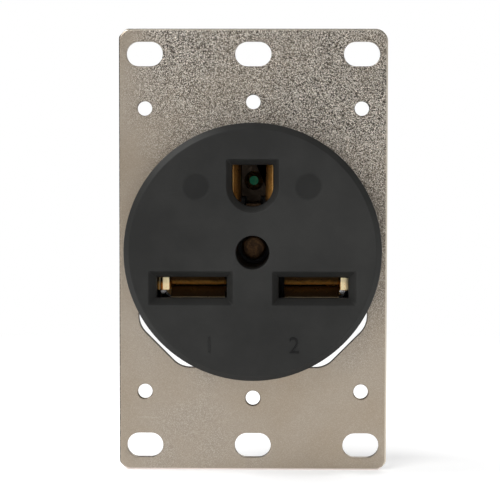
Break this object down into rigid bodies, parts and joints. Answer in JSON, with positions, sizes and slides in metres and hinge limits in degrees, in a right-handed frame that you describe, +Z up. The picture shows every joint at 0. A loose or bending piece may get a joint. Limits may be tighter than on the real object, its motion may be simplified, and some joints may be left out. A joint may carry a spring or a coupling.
{
  "type": "straight blade receptacle",
  "caption": "Flush electrical receptacle: round black face with lying blade slots and a U ground socket on a flat plated strap, wire terminals behind.",
  "frame": {"origin": "centre of the fixing hole pattern, on the back face of the strap where it meets the wall box", "axes": "+Z up along the strap's long side with the ground socket on top, +X to the right as the user sees it, -Y out of the face towards the user"},
  "size_m": [0.057, 0.035, 0.094],
  "materials": {
    "plated_steel": "nickel-plated, fine satin grain",
    "black_plastic": "moulded, fine matt texture",
    "base_plastic": "moulded, satin",
    "contact_brass": "sheared and folded strip, slightly dulled",
    "spring_steel": "bright spring steel",
    "screw_brass": "turned, bright",
    "green_screw": "green-dyed plating",
    "clamp_steel": "zinc-plated",
    "assembly_steel": "zinc-plated",
    "rivet_copper": "dull copper-brown"
  },
  "bodies": {
    "root": {"strap": "plated_steel", "face": "black_plastic", "base": "base_plastic", "contact_right": "contact_brass", "spring_right": "spring_steel", "terminal_screw_right": "screw_brass", "ground_screw": "green_screw", "wire_clamp_right": "clamp_steel", "assembly_screw_right": "assembly_steel", "centre_rivet": "rivet_copper", "contact_left": "contact_brass", "contact_ground": "contact_brass", "spring_left": "spring_steel", "spring_ground": "spring_steel", "terminal_screw_left": "screw_brass", "wire_clamp_left": "clamp_steel", "wire_clamp_ground": "clamp_steel", "assembly_screw_left": "assembly_steel", "rivet_washer": "assembly_steel", "bond_strip": "clamp_steel"}
  },
  "joints": []
}
